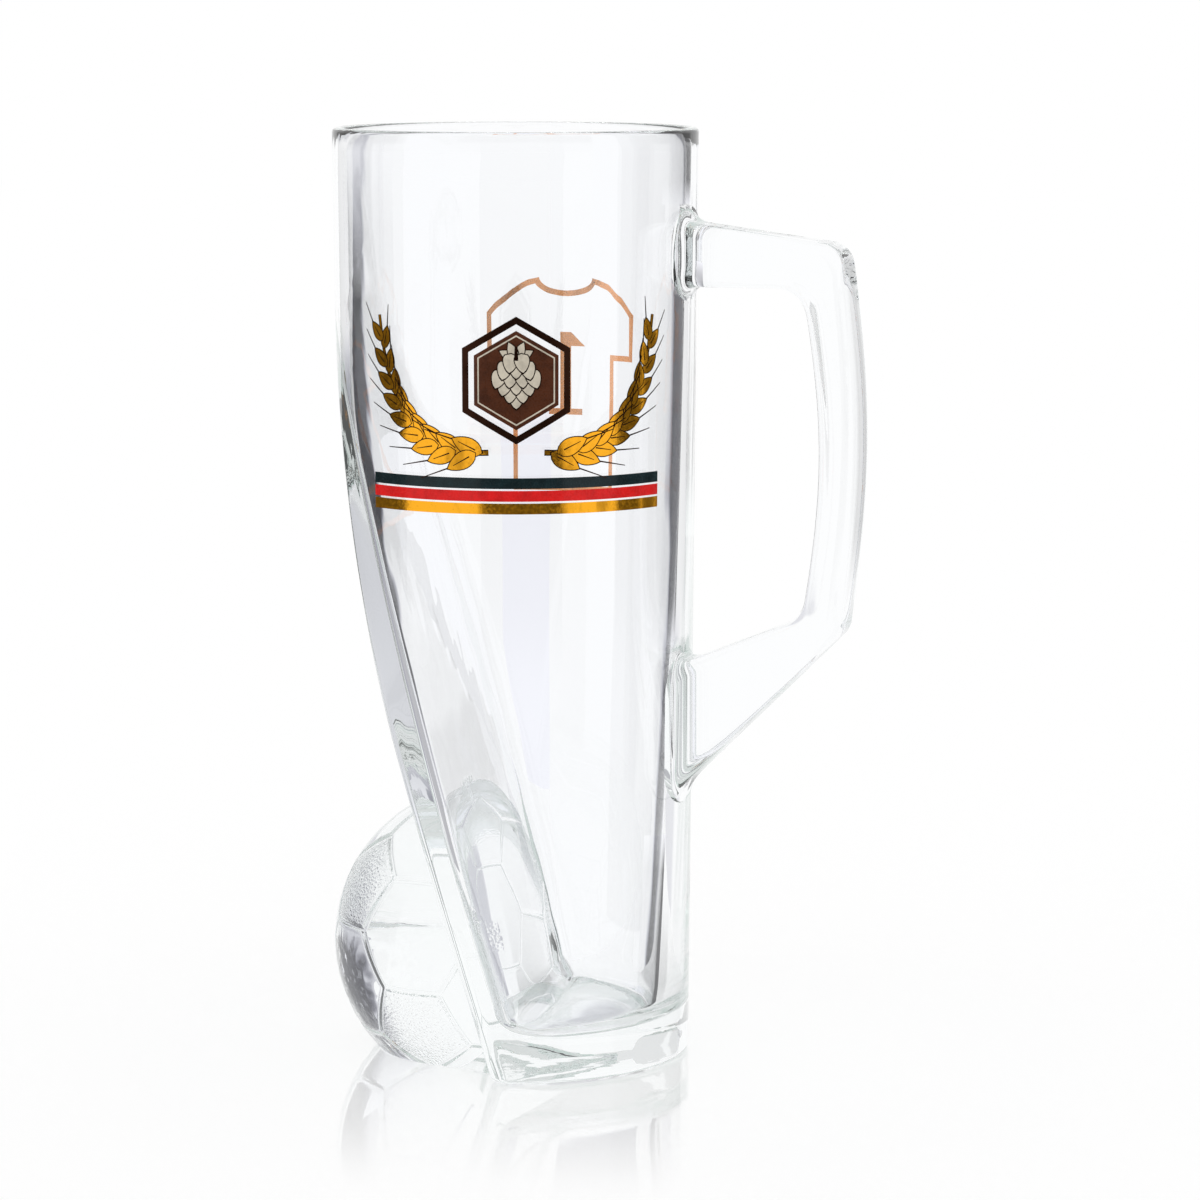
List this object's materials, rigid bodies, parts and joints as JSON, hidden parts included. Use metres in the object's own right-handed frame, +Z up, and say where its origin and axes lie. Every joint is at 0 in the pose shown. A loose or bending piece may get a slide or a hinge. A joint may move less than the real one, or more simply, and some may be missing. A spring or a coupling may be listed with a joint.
{
  "type": "beer mug",
  "caption": "Tall pressed-glass beer mug with an angular side handle, a flat leaning facet opposite it, a glass football at the facet's foot and a gold and coloured enamel print.",
  "frame": {"origin": "middle of the mug's overall box, on the table it stands on; it lies on the underside of the vessel's foot", "axes": "+Z up along the vessel, +X towards the handle, -X towards the football (which is turned 5 degrees about +Z from it), -Y towards the printed front"},
  "size_m": [0.12, 0.0803, 0.2045],
  "materials": {
    "clear_glass": "clear pressed soda-lime glass, faintly green where thick, stippled on the football's five-sided panels",
    "brown_enamel": "glossy dark brown fired enamel",
    "dark_lustre": "dark brown bronze lustre line",
    "gold_lustre": "mirror-bright gold lustre",
    "black_enamel": "glossy black fired enamel",
    "red_enamel": "glossy red fired enamel",
    "copper_lustre": "thin copper-coloured lustre line"
  },
  "bodies": {
    "root": {"glass_body": "clear_glass", "handle": "clear_glass", "football": "clear_glass", "badge_plate": "brown_enamel", "badge_frame": "dark_lustre", "barley_left": "gold_lustre", "barley_right": "gold_lustre", "stripe_black": "black_enamel", "stripe_red": "red_enamel", "stripe_gold": "gold_lustre", "shirt_outline": "copper_lustre", "shirt_numeral": "copper_lustre"}
  },
  "joints": []
}
